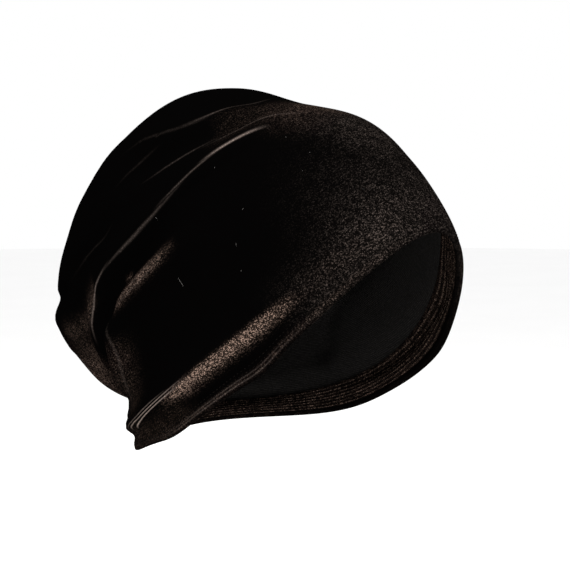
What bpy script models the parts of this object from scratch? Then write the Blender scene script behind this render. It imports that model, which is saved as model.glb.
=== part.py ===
"""A slouch beanie of black stretch velvet, shaped as it sits on a head.

The wearer looks along -Y, +X is the wearer's left and +Z is up. The origin is midway between the
hem at the brow and the hem at the nape. The crown is one thin cloth wall, a tube that starts at
the hem, covers the head and ends in a bag that hangs behind it. Its form is a fan of closed
loops. Each loop runs from a place on the middle line above to a place on the middle line below,
and the loops come close together at the nape, where the spare cloth gathers into folds. The hem
is turned in, and the turned-in strip is a second wall inside the first.
"""

import math
from typing import NamedTuple

import bmesh
import bpy
import numpy as np

MM = 0.001

# Driving sizes of the hat as worn
OPENING_LENGTH = 184 * MM  # brow to nape, measured level
OPENING_WIDTH = 156 * MM  # over the ears, outside
BROW_RISE = 121 * MM  # hem at the brow above the hem at the nape
CROWN_RISE = 70 * MM  # highest place above the hem at the brow
SLOUCH_REACH = 74 * MM  # how far the bag hangs out behind the nape
SLOUCH_LEAN = 9 * MM  # how far the bag swings to the wearer's right
CLOTH = 1.8 * MM  # thickness of the velvet, pile included
FACING_CLOTH = 1.2 * MM  # the turned-in strip, its pile pressed flat
CLEARANCE = 0.45 * MM  # between the crown and the strip
FOLD_WIDTH = 10 * MM  # half the width of a broad fold
FOLD_HEIGHT = 5 * MM  # how far a full fold stands out
FOLD_SPREAD = 100 * MM  # keeps a fold at the nape from reaching its neighbours
HEM_WAVE = 3 * MM  # how far the edge of the hem waves up and down
BROW_NARROWING = 0.15  # a head is this share narrower at the brow than an even oval

# How finely the cloth is divided
SPOKES = 60
SIDE_CROWDING = 0.2  # the spokes stand closer together on the two folded sides
FACING_LOOPS = 6  # the turned-in strip reaches up to this loop of the crown
ROUTE_POINTS = 96
TIP_GAP = 0.015  # the last loop stops this share short of the tip
WAVE_END = 0.12  # the hem's wave has died away at this share of the way to the tip
FADE = 0.3  # the share of a fold's length over which each end fades
STEP = 1e-3  # share over which slopes are measured


class Section(NamedTuple):
    """One closed loop of cloth, as shares of the driving sizes.

    up is the share of the way from hem to tip. Along, -1 is the brow, 1 the nape and 2 the back
    of the bag. In height, 0 is the hem at the nape, 1 the hem at the brow and 2 the top of the
    crown. half_width is a share of half the opening width. sweep is 1 for a loop that lies in one
    plane, and more for one whose sides hang below the line from its top to its under side.
    """

    up: float
    top_along: float
    top_height: float
    under_along: float
    under_height: float
    half_width: float
    sweep: float


SECTIONS = (
    #       up    top: along, height  under: along, height  half_width, sweep
    Section(0.00, -1.00, 1.00, 1.00, 0.00, 0.98, 2.40),
    Section(0.05, -0.94, 1.13, 1.01, 0.05, 1.00, 2.20),
    Section(0.10, -0.84, 1.29, 1.02, 0.09, 1.01, 1.95),
    Section(0.17, -0.66, 1.52, 1.04, 0.13, 1.02, 1.65),
    Section(0.24, -0.42, 1.74, 1.06, 0.15, 1.03, 1.42),
    Section(0.31, -0.12, 1.85, 1.08, 0.16, 1.02, 1.24),
    Section(0.38, 0.19, 1.93, 1.10, 0.16, 1.00, 1.12),
    Section(0.45, 0.48, 2.03, 1.12, 0.15, 0.98, 1.04),
    Section(0.52, 0.75, 2.01, 1.15, 0.13, 0.95, 0.98),
    Section(0.59, 1.01, 1.84, 1.21, 0.10, 0.92, 0.94),
    Section(0.66, 1.29, 1.59, 1.32, 0.07, 0.88, 0.91),
    Section(0.73, 1.57, 1.27, 1.44, 0.07, 0.80, 0.91),
    Section(0.80, 1.79, 0.95, 1.58, 0.12, 0.65, 0.93),
    Section(0.87, 1.92, 0.75, 1.74, 0.25, 0.52, 0.95),
    Section(0.94, 1.98, 0.60, 1.88, 0.38, 0.30, 0.98),
    Section(1.00, 1.97, 0.49, 1.97, 0.49, 0.00, 1.00),
)


class HemDip(NamedTuple):
    """A place where the hem hangs lower, or higher where its drop is less than 0.

    Around and spread are in degrees, and the drop is a share of HEM_WAVE.
    """

    around: float
    spread: float
    drop: float


HEM_DIPS = (
    HemDip(-61, 6, 0.80),
    HemDip(-82, 13, -0.80),
    HemDip(-110, 15, -1.07),
    HemDip(-146, 14, 0.40),
    HemDip(62, 10, 0.67),
    HemDip(90, 16, -0.73),
)


class Fold(NamedTuple):
    """A crest, or a crease if its height is negative, along a curve through three places.

    Around is in degrees from the middle line above, negative to the wearer's right, and 180 is
    the middle line below. Up is as in Section. The half widths, on the hem's side and on the tip's
    side, are shares of FOLD_WIDTH, and the height is a share of FOLD_HEIGHT.
    """

    name: str
    start_around: float
    start_up: float
    middle_around: float
    middle_up: float
    end_around: float
    end_up: float
    hem_side: float
    tip_side: float
    height: float


FOLDS = (
    #    name                      start         middle        end          widths, height
    Fold("hem roll, right", -32, 0.052, -86, 0.0755, -146, 0.084, 0.8, 1.0, 1.10),
    Fold("under the roll, right", -36, 0.026, -88, 0.047, -146, 0.056, 0.5, 0.5, -0.68),
    Fold("hem roll, nape", -130, 0.086, 180, 0.094, 112, 0.086, 0.8, 0.9, 1.00),
    Fold("under the roll, nape", -130, 0.056, 180, 0.058, 112, 0.056, 0.5, 0.5, -0.60),
    Fold("hem roll, end", -104, 0.079, -122, 0.077, -142, 0.075, 0.4, 0.4, 0.48),
    Fold("hem flare, nape right", -98, 0.004, -138, 0.004, -176, 0.004, 1.2, 1.0, 0.92),
    Fold("hem roll, left", 36, 0.052, 78, 0.072, 120, 0.088, 0.8, 1.0, 0.96),
    Fold("under the roll, left", 40, 0.028, 80, 0.045, 120, 0.060, 0.5, 0.5, -0.56),
    Fold("bag crest, right front", -14, 0.276, -40, 0.304, -68, 0.324, 0.7, 0.9, 0.68),
    Fold("bag crest, right back", -52, 0.312, -82, 0.352, -112, 0.422, 0.7, 1.0, 1.04),
    Fold("bag crest, right low", -98, 0.402, -124, 0.452, -150, 0.540, 0.8, 1.1, 0.90),
    Fold("bag crease, right", -58, 0.276, -90, 0.332, -120, 0.392, 0.8, 0.9, -0.84),
    Fold("bag crease, right low", -108, 0.366, -130, 0.392, -152, 0.420, 0.8, 0.8, -1.00),
    Fold("side crest, right", -56, 0.234, -80, 0.270, -106, 0.334, 1.0, 0.8, 0.90),
    Fold("side crest, right low", -98, 0.330, -110, 0.260, -120, 0.150, 0.9, 0.8, 1.04),
    Fold("top crest, right", -12, 0.356, -38, 0.396, -56, 0.510, 0.8, 1.0, 0.64),
    Fold("top crease, right", -14, 0.322, -44, 0.366, -68, 0.450, 0.9, 0.9, -0.44),
    Fold("back crease, right", -70, 0.424, -90, 0.490, -98, 0.680, 0.6, 0.6, -0.44),
    Fold("back notch, right", -97, 0.620, -92, 0.730, -84, 0.830, 0.5, 0.4, -0.64),
    Fold("back lobe, right", -88, 0.700, -96, 0.748, -102, 0.795, 0.4, 0.5, 0.48),
    Fold("bag crest, left", 10, 0.286, 60, 0.330, 106, 0.420, 0.8, 1.0, 0.96),
    Fold("bag crest, left low", 94, 0.402, 122, 0.452, 150, 0.530, 0.8, 1.0, 0.84),
    Fold("bag crease, left", 50, 0.276, 92, 0.336, 124, 0.396, 0.9, 0.9, -0.92),
    Fold("bag crease, left low", 108, 0.370, 130, 0.396, 150, 0.420, 0.8, 0.8, -0.90),
    Fold("side crest, left", 50, 0.238, 82, 0.280, 106, 0.334, 1.0, 0.9, 0.84),
    Fold("side crest, left low", 98, 0.328, 112, 0.262, 120, 0.155, 0.9, 0.8, 0.96),
    Fold("top crest, left", 8, 0.372, 38, 0.418, 60, 0.550, 0.9, 1.0, 0.60),
    Fold("back swag, upper", -60, 0.600, 0, 0.650, 58, 0.600, 1.3, 1.3, 0.64),
    Fold("back swag, lower", -80, 0.680, 4, 0.750, 76, 0.690, 1.2, 1.2, -0.60),
    Fold("tip pucker, right", -98, 0.700, -110, 0.800, -128, 0.880, 0.9, 0.9, 0.64),
    Fold("tip pucker, left", 92, 0.690, 112, 0.790, 126, 0.870, 0.9, 0.9, 0.60),
)


class Band(NamedTuple):
    """A stretch of the way from hem to tip, and how many loops divide it."""

    up: float
    loops: int


BANDS = (Band(0.14, 9), Band(0.25, 4), Band(0.45, 15), Band(0.75, 8), Band(1 - TIP_GAP, 5))


def place_along(share: np.ndarray) -> np.ndarray:
    """Place from front to back of a share along the hat."""
    half = OPENING_LENGTH / 2
    return np.where(share <= 1, share * half, half + (share - 1) * SLOUCH_REACH)


def place_high(share: np.ndarray) -> np.ndarray:
    """Height of a share up the hat, above the hem at the nape."""
    return np.where(share <= 1, share * BROW_RISE, BROW_RISE + (share - 1) * CROWN_RISE)


def smooth_between(wanted: np.ndarray, knots: np.ndarray, values: np.ndarray) -> np.ndarray:
    """Values at the wanted places of a smooth curve through the knots."""
    slopes = np.gradient(values, knots)
    cell = np.clip(np.searchsorted(knots, wanted, side="right") - 1, 0, len(knots) - 2)
    width = knots[cell + 1] - knots[cell]
    t = (wanted - knots[cell]) / width
    return (
        values[cell] * (1 + 2 * t) * (1 - t) ** 2
        + slopes[cell] * width * t * (1 - t) ** 2
        + values[cell + 1] * t**2 * (3 - 2 * t)
        + slopes[cell + 1] * width * t**2 * (t - 1)
    )


def hem_drop(around: np.ndarray) -> np.ndarray:
    """How much lower than an even curve the hem hangs."""
    drop = 0.0
    for dip in HEM_DIPS:
        away = (np.degrees(around) - dip.around + 180) % 360 - 180
        drop = drop + dip.drop * HEM_WAVE * np.exp(-((away / dip.spread) ** 2))
    return drop


def plain_points(around: np.ndarray, up: np.ndarray) -> np.ndarray:
    """Points of the cloth without its folds. around is in radians from the middle line above."""
    table = np.array(SECTIONS)
    top_along, top_height, under_along, under_height, half_width, sweep = (
        smooth_between(up, table[:, 0], table[:, column]) for column in range(1, 7)
    )
    top_y, under_y = place_along(top_along), place_along(under_along)
    top_z, under_z = place_high(top_height), place_high(under_height)
    rise = (1 + np.cos(around)) / 2
    lean = SLOUCH_LEAN * np.clip((up - 0.3) / 0.7, 0, 1)
    narrow = 1 - BROW_NARROWING * np.clip(np.cos(around), 0, 1) ** 2 * np.clip(1 - up / 0.5, 0, 1)
    x = np.sin(around) * half_width * narrow * OPENING_WIDTH / 2 - lean
    y = under_y + rise * (top_y - under_y)
    z = under_z + rise**sweep * (top_z - under_z) - BROW_RISE / 2
    z = z - hem_drop(around) * np.clip(1 - up / WAVE_END, 0, 1) ** 2
    return np.stack([x, y, z], axis=-1)


def outward(around: np.ndarray, up: np.ndarray) -> np.ndarray:
    """Outward unit normals of the cloth without its folds."""
    low, high = np.maximum(up - STEP, 0), np.minimum(up + STEP, 1)
    across = plain_points(around + STEP, up) - plain_points(around - STEP, up)
    upward = plain_points(around, high) - plain_points(around, low)
    normal = np.cross(across, upward)
    return normal / np.linalg.norm(normal, axis=-1, keepdims=True)


def smooth_step(share: np.ndarray) -> np.ndarray:
    """Rises from 0 to 1 with level ends."""
    share = np.clip(share, 0, 1)
    return share * share * (3 - 2 * share)


def fold_route(fold: Fold) -> tuple[np.ndarray, np.ndarray, np.ndarray]:
    """Around, up and share of the way, at points along the middle of a fold."""
    t = np.linspace(0, 1, ROUTE_POINTS)
    weights = np.stack([2 * (t - 0.5) * (t - 1), 4 * t * (1 - t), 2 * t * (t - 0.5)])
    around = weights.T @ np.unwrap(
        np.radians([fold.start_around, fold.middle_around, fold.end_around])
    )
    up = weights.T @ np.array([fold.start_up, fold.middle_up, fold.end_up])
    return around, up, t


def fold_lift(fold: Fold, plain: np.ndarray, up: np.ndarray) -> np.ndarray:
    """How far a fold moves the cloth outwards at plain points."""
    route_around, route_up, t = fold_route(fold)
    route = plain_points(route_around, route_up)
    taper = smooth_step(t / FADE) * smooth_step((1 - t) / FADE)
    gap = plain[..., None, :] - route
    spread = (up[..., None] - route_up) * FOLD_SPREAD
    away = np.sum(gap * gap, axis=-1) + spread**2
    nearest = np.argmin(away, axis=-1)
    half_width = np.where(up > route_up[nearest], fold.tip_side, fold.hem_side) * FOLD_WIDTH
    distance = np.sqrt(np.min(away, axis=-1)) / half_width
    return fold.height * FOLD_HEIGHT * taper[nearest] * np.exp(-(distance**2))


def cloth_points(around: np.ndarray, up: np.ndarray, inward: float = 0.0) -> np.ndarray:
    """Points of the folded cloth, moved into the hat by a depth."""
    around, up = np.broadcast_arrays(around, up)
    plain = plain_points(around, up)
    lift = sum(fold_lift(fold, plain, up) for fold in FOLDS) - inward
    return plain + outward(around, up) * lift[..., None]


def spoke_angles() -> np.ndarray:
    """The angles round the hat of a loop's points."""
    even = np.arange(SPOKES) * 2 * math.pi / SPOKES
    return even + SIDE_CROWDING * np.sin(2 * even)


def crown_ups() -> np.ndarray:
    """The shares from hem to tip at which the crown has a loop."""
    ups = [0.0]
    for band in BANDS:
        ups.extend(np.linspace(ups[-1], band.up, band.loops + 1)[1:])
    return np.array(ups)


def wall_loops(ups: np.ndarray, outside: float, cloth: float) -> list:
    """The loops of a wall from its top edge outside, down, round the lower edge and up inside."""
    around = spoke_angles()[None, :]
    outer = cloth_points(around, ups[:, None], outside)
    inner = cloth_points(around, ups[:, None], outside + cloth)
    middle = (outer[0] + inner[0]) / 2
    down = outer[0] - outer[1]
    down /= np.linalg.norm(down, axis=-1, keepdims=True)
    return [*outer[::-1], middle + down * cloth / 2, *inner]


def bridge(mesh: bmesh.types.BMesh, lower: list, upper: list, leans_back: bool) -> None:
    """Joins two rings of vertices with triangles whose long sides follow the folds."""
    for k in range(len(lower)):
        after = (k + 1) % len(lower)
        if leans_back == (k < len(lower) // 2):
            mesh.faces.new((lower[k], lower[after], upper[after]))
            mesh.faces.new((lower[k], upper[after], upper[k]))
        else:
            mesh.faces.new((lower[k], lower[after], upper[k]))
            mesh.faces.new((lower[after], upper[after], upper[k]))


def fan(mesh: bmesh.types.BMesh, ring: list, tip: np.ndarray) -> None:
    """Closes a ring of vertices with triangles to one point."""
    centre = mesh.verts.new(tip)
    for k in range(len(ring)):
        mesh.faces.new((ring[k], ring[(k + 1) % len(ring)], centre))


def add_solid(name: str, mesh: bmesh.types.BMesh, material: bpy.types.Material) -> bpy.types.Object:
    """Turns a closed mesh into a named object with its material and smooth faces."""
    bmesh.ops.recalc_face_normals(mesh, faces=mesh.faces)
    data = bpy.data.meshes.new(name)
    mesh.to_mesh(data)
    mesh.free()
    data.shade_smooth()
    data.materials.append(material)
    solid = bpy.data.objects.new(name, data)
    bpy.context.scene.collection.objects.link(solid)
    return solid


def cloth_material(name: str, colour: tuple, roughness: float, sheen: float) -> bpy.types.Material:
    """A plain cloth finish."""
    material = bpy.data.materials.new(name)
    material.use_nodes = True
    shader = material.node_tree.nodes["Principled BSDF"]
    shader.inputs["Base Color"].default_value = (*colour, 1)
    shader.inputs["Roughness"].default_value = roughness
    shader.inputs["Metallic"].default_value = 0
    shader.inputs["Sheen Weight"].default_value = sheen
    return material


def build_crown(material: bpy.types.Material) -> bpy.types.Object:
    """The velvet crown: one cloth wall, open at the hem and closed at the tip of the bag."""
    loops = wall_loops(crown_ups(), 0.0, CLOTH)
    mesh = bmesh.new()
    rings = [[mesh.verts.new(point) for point in loop] for loop in loops]
    for place, (lower, upper) in enumerate(zip(rings, rings[1:])):
        bridge(mesh, lower, upper, place > len(rings) // 2)
    tip = cloth_points(np.array(0.0), np.array(1.0 - STEP))
    into = np.mean(loops[-1], axis=0) - np.mean(loops[0], axis=0)
    fan(mesh, rings[0], tip)
    fan(mesh, rings[-1], tip + into / np.linalg.norm(into) * CLOTH)
    return add_solid("crown", mesh, material)


def build_hem_facing(material: bpy.types.Material) -> bpy.types.Object:
    """The turned-in strip of the hem: a closed band just inside the crown."""
    loops = wall_loops(crown_ups()[1 : FACING_LOOPS + 1], CLOTH + CLEARANCE, FACING_CLOTH)
    mesh = bmesh.new()
    rings = [[mesh.verts.new(point) for point in loop] for loop in loops]
    for place, (lower, upper) in enumerate(zip(rings, rings[1:] + rings[:1])):
        bridge(mesh, lower, upper, place > len(rings) // 2)
    return add_solid("hem_facing", mesh, material)


def main() -> None:
    """Clears the scene and builds the hat."""
    for old in list(bpy.data.objects):
        bpy.data.objects.remove(old)
    velvet = cloth_material("velvet", (0.008, 0.007, 0.006), 0.75, 0.6)
    velvet_inside = cloth_material("velvet_inside", (0.016, 0.015, 0.014), 0.9, 0.2)
    build_crown(velvet)
    build_hem_facing(velvet_inside)


main()
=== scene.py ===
"""Dresses a slouch beanie of black stretch velvet and sets a plain studio round it.

The wearer looks along -Y, +X is the wearer's left and +Z is up. The origin is midway between the
hem at the brow and the hem at the nape. Cloth is described by two coordinates: around, the angle
from the middle line above, and up, the share of the way from the hem to the tip of the bag.
"""

from __future__ import annotations

import logging
import math
from collections.abc import Callable, Sequence
from dataclasses import dataclass
from enum import Enum
from typing import NamedTuple

import bmesh
import bpy
import numpy as np
from bpy.types import ID, Material, Mesh, Node, NodeSocket, NodeTree, Object
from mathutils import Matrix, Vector

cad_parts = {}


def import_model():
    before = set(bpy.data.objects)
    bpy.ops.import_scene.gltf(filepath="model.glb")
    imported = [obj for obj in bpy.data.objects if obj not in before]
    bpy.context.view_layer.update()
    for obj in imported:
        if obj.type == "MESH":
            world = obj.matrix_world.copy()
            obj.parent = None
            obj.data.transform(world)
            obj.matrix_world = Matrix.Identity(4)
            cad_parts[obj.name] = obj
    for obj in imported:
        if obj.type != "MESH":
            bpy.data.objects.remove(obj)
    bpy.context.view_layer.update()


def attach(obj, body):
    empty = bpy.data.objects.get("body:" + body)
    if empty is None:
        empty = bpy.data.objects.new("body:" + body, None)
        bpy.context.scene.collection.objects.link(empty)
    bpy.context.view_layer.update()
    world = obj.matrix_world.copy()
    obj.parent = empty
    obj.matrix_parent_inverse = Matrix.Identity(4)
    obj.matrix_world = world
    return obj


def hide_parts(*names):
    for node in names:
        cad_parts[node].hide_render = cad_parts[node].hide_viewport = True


LOG = logging.getLogger("slouch_beanie")
MM = 0.001
# The step of angle or share over which a slope of the cloth is taken.
STEP = 1e-3
# The cloth's length once round the hat, for its UV map.
GIRTH = 560 * MM
# The share of its amount that a strip keeps on the hat's other side.
MIRRORED = 0.85
# The sets of fine lines. Lines that cross or run side by side lie in different sets.
LINE_SETS = 4
# How many half widths from a line its light is gone.
FAR = 9.0
Grid = np.ndarray
Colour = tuple[float, float, float]


class Cloth(Enum):
    """Which face of the cloth shows, as the index of its material."""

    PILE = 0
    KNIT_BACK = 1


def table(kind: type, *rows: tuple) -> tuple:
    """A table of one kind of named values, from its rows."""
    return tuple(kind(*row) for row in rows)


def unit(vectors: Grid) -> Grid:
    """The vectors on the last axis at length 1."""
    return vectors / np.linalg.norm(vectors, axis=-1, keepdims=True)


class Section(NamedTuple):
    """One closed loop of cloth, as shares of the hat's sizes.

    Along, -1 is the brow, 1 the nape and 2 the back of the bag. In height, 0 is the hem at the
    nape, 1 the hem at the brow and 2 the top of the crown. sweep is more than 1 for a loop whose
    sides hang below the line from its top to its under side.
    """

    up: float
    top_along: float
    top_height: float
    under_along: float
    under_height: float
    half_width: float
    sweep: float


SECTIONS = table(
    Section,
    # up    top: along, height  under: along, height  half_width, sweep
    (0.00, -1.00, 1.00, 1.00, 0.00, 0.98, 2.40),
    (0.05, -0.94, 1.13, 1.01, 0.05, 1.00, 2.20),
    (0.10, -0.84, 1.29, 1.02, 0.09, 1.01, 1.95),
    (0.17, -0.66, 1.52, 1.04, 0.13, 1.02, 1.65),
    (0.24, -0.42, 1.74, 1.06, 0.15, 1.03, 1.42),
    (0.31, -0.12, 1.85, 1.08, 0.16, 1.02, 1.24),
    (0.38, 0.19, 1.93, 1.10, 0.16, 1.00, 1.12),
    (0.45, 0.48, 2.03, 1.12, 0.15, 0.98, 1.04),
    (0.52, 0.75, 2.01, 1.15, 0.13, 0.95, 0.98),
    (0.59, 1.01, 1.84, 1.21, 0.10, 0.92, 0.94),
    (0.66, 1.29, 1.59, 1.32, 0.07, 0.88, 0.91),
    (0.73, 1.57, 1.27, 1.44, 0.07, 0.80, 0.91),
    (0.80, 1.79, 0.95, 1.58, 0.12, 0.65, 0.93),
    (0.87, 1.92, 0.75, 1.74, 0.25, 0.52, 0.95),
    (0.94, 1.98, 0.60, 1.88, 0.38, 0.30, 0.98),
    (1.00, 1.97, 0.49, 1.97, 0.49, 0.00, 1.00),
)


class HemDip(NamedTuple):
    """A place where the hem hangs lower, or higher where its drop is less than 0.

    Around and spread are in degrees, the drop in millimetres.
    """

    around: float
    spread: float
    drop: float


HEM_DIPS = table(
    HemDip,
    (-61, 6, 2.4),
    (-82, 13, -2.4),
    (-110, 15, -3.2),
    (-146, 14, 1.2),
    (62, 10, 2.0),
    (90, 16, -2.2),
)


class Stripe(NamedTuple):
    """A strip of cloth along a curve through three places, with its two half widths.

    Around is in degrees from the middle line above, negative to the wearer's right, and 180 is
    the middle line below. Half widths are in millimetres, on the hem's side and on the tip's
    side. amount is a height in millimetres for a fold, or a share from 0 to 1 for a sheen. fade is
    the share of its length over which each of its ends fades, or 0 for the usual share.
    """

    name: str
    start_around: float
    start_up: float
    middle_around: float
    middle_up: float
    end_around: float
    end_up: float
    hem_side: float
    tip_side: float
    amount: float
    fade: float = 0.0

    def mirrored(self) -> Stripe:
        """The same strip on the other side of the hat, a little weaker."""
        return self._replace(
            start_around=-self.start_around,
            middle_around=-self.middle_around,
            end_around=-self.end_around,
            amount=self.amount * MIRRORED,
        )


# The main folds, which the solids have too.
FOLDS = table(
    Stripe,
    ("hem roll, right", -32, 0.052, -86, 0.0755, -146, 0.084, 8, 10, 5.5),
    ("under the roll, right", -36, 0.026, -88, 0.047, -146, 0.056, 5, 5, -3.4),
    ("hem roll, nape", -130, 0.086, 180, 0.094, 112, 0.086, 8, 9, 5.0),
    ("under the roll, nape", -130, 0.056, 180, 0.058, 112, 0.056, 5, 5, -3.0),
    ("hem roll, end", -104, 0.079, -122, 0.077, -142, 0.075, 4, 4, 2.4),
    ("hem flare, nape right", -98, 0.004, -138, 0.004, -176, 0.004, 12, 10, 4.6),
    ("hem roll, left", 36, 0.052, 78, 0.072, 120, 0.088, 8, 10, 4.8),
    ("under the roll, left", 40, 0.028, 80, 0.045, 120, 0.060, 5, 5, -2.8),
    ("bag crest, right front", -14, 0.276, -40, 0.304, -68, 0.324, 7, 9, 3.4),
    ("bag crest, right back", -52, 0.312, -82, 0.352, -112, 0.422, 7, 10, 5.2),
    ("bag crest, right low", -98, 0.402, -124, 0.452, -150, 0.540, 8, 11, 4.5),
    ("bag crease, right", -58, 0.276, -90, 0.332, -120, 0.392, 8, 9, -4.2),
    ("bag crease, right low", -108, 0.366, -130, 0.392, -152, 0.420, 8, 8, -5.0),
    ("side crest, right", -56, 0.234, -80, 0.270, -106, 0.334, 10, 8, 4.5),
    ("side crest, right low", -98, 0.330, -110, 0.260, -120, 0.150, 9, 8, 5.2),
    ("top crest, right", -12, 0.356, -38, 0.396, -56, 0.510, 8, 10, 3.2),
    ("top crease, right", -14, 0.322, -44, 0.366, -68, 0.450, 9, 9, -2.2),
    ("back crease, right", -70, 0.424, -90, 0.490, -98, 0.680, 6, 6, -2.2),
    ("back notch, right", -97, 0.620, -92, 0.730, -84, 0.830, 5, 4, -3.2),
    ("back lobe, right", -88, 0.700, -96, 0.748, -102, 0.795, 4, 5, 2.4),
    ("bag crest, left", 10, 0.286, 60, 0.330, 106, 0.420, 8, 10, 4.8),
    ("bag crest, left low", 94, 0.402, 122, 0.452, 150, 0.530, 8, 10, 4.2),
    ("bag crease, left", 50, 0.276, 92, 0.336, 124, 0.396, 9, 9, -4.6),
    ("bag crease, left low", 108, 0.370, 130, 0.396, 150, 0.420, 8, 8, -4.5),
    ("side crest, left", 50, 0.238, 82, 0.280, 106, 0.334, 10, 9, 4.2),
    ("side crest, left low", 98, 0.328, 112, 0.262, 120, 0.155, 9, 8, 4.8),
    ("top crest, left", 8, 0.372, 38, 0.418, 60, 0.550, 9, 10, 3.0),
    ("back swag, upper", -60, 0.600, 0, 0.650, 58, 0.600, 13, 13, 3.2),
    ("back swag, lower", -80, 0.680, 4, 0.750, 76, 0.690, 12, 12, -3.0),
    ("tip pucker, right", -98, 0.700, -110, 0.800, -128, 0.880, 9, 9, 3.2),
    ("tip pucker, left", 92, 0.690, 112, 0.790, 126, 0.870, 9, 9, 3.0),
)

# Creases too fine for the solids.
FINE_FOLDS = table(
    Stripe,
    ("bag crest, sharp edge", -24, 0.280, -64, 0.318, -108, 0.415, 2.0, 4.0, 0.9),
    ("side flap, sharp edge", -98, 0.334, -110, 0.262, -121, 0.150, 2.5, 2.5, 0.8),
    ("middle crease, front", -14, 0.283, -30, 0.330, -46, 0.362, 2.0, 2.0, 0.8),
    ("middle crease, back", -38, 0.350, -50, 0.378, -60, 0.412, 2.0, 2.0, 0.7),
    ("top crest, sharp edge", -14, 0.358, -34, 0.386, -52, 0.470, 2.0, 3.0, 0.8),
    ("high crease", -48, 0.418, -57, 0.436, -66, 0.454, 2.2, 2.2, 0.6),
    ("back crease, upper", -76, 0.430, -84, 0.455, -92, 0.500, 2.2, 2.2, 0.6),
    ("hem roll, upper line", -84, 0.092, -104, 0.099, -130, 0.096, 1.6, 2.4, 0.9),
    ("nape gather, first", -112, 0.112, -128, 0.145, -136, 0.210, 3, 3, 1.4),
    ("nape gather, second", -134, 0.112, -146, 0.150, -150, 0.220, 3, 3, 1.6),
    ("nape gather, third", -156, 0.108, -166, 0.150, -168, 0.230, 3, 3, 1.5),
    ("nape gather, middle", 176, 0.108, 174, 0.155, 177, 0.230, 3, 3, 1.6),
    ("nape gather, fourth", 150, 0.110, 144, 0.150, 138, 0.215, 3, 3, 1.5),
)

# Painted sheen along the folds, the hem and the bag. Each strip is mirrored.
SHEENS = table(
    Stripe,
    ("hem roll, bright", -46, 0.0555, -69, 0.0675, -93, 0.0748, 3.1, 1.6, 0.43),
    ("hem roll, front", -43, 0.048, -55, 0.055, -70, 0.063, 2.2, 2.8, 0.035),
    ("hem roll, towards the brow", -14, 0.038, -32, 0.047, -50, 0.056, 5, 6, 0.010),
    ("hem edge", -8, 0.005, -60, 0.006, -116, 0.007, 1.2, 1.8, 0.03),
    ("hem edge, nape", -104, 0.006, 180, 0.007, 104, 0.006, 1.2, 1.8, 0.05),
    ("hem band, nape", -80, 0.026, -104, 0.040, -136, 0.044, 6, 6, 0.026),
    ("bag crest, inside", -96, 0.402, -107, 0.435, -119, 0.480, 3, 7, 0.060),
    ("behind the bag crest", -14, 0.300, -28, 0.320, -44, 0.336, 6, 6, 0.012),
    ("below the top crest", -4, 0.320, -21, 0.342, -36, 0.362, 7, 7, 0.011),
    ("top, in front", -14, 0.268, 6, 0.290, 30, 0.250, 14, 16, 0.031),
    ("side crest", -66, 0.251, -83, 0.275, -100, 0.322, 2.6, 3.6, 0.13),
    ("side crease, glint", -83.5, 0.312, -86, 0.318, -88.5, 0.325, 1.5, 1.5, 0.09, 0.5),
    ("under the flap", -103, 0.290, -109, 0.200, -115, 0.090, 11, 12, 0.029),
    ("bag, low", -124, 0.900, -137, 0.690, -123, 0.480, 14, 16, 0.064),
    ("bag, low edge", -106, 0.740, -116, 0.610, -111, 0.450, 5, 5, 0.036),
    ("bag, underside", -146, 0.830, -157, 0.700, -154, 0.560, 14, 16, 0.030),
)

# Guessed sheens behind and on the left, which aren't mirrored.
BACK_SHEENS = table(
    Stripe,
    ("top of the bag", -12, 0.495, 18, 0.520, 56, 0.485, 7, 13, 0.040, 0.5),
    ("back swag, upper", -16, 0.615, 34, 0.668, 96, 0.575, 5, 11, 0.070, 0.5),
    ("back swag, middle", -4, 0.800, 40, 0.790, 94, 0.680, 5, 9, 0.040, 0.5),
    ("back swag, low", -78, 0.840, -4, 0.905, 96, 0.860, 5, 10, 0.024, 0.5),
    ("bag, left side", 76, 0.480, 100, 0.640, 98, 0.840, 7, 10, 0.050, 0.5),
    ("hem roll, nape", -146, 0.086, 180, 0.092, 146, 0.086, 2.5, 3.0, 0.14),
)
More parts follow.
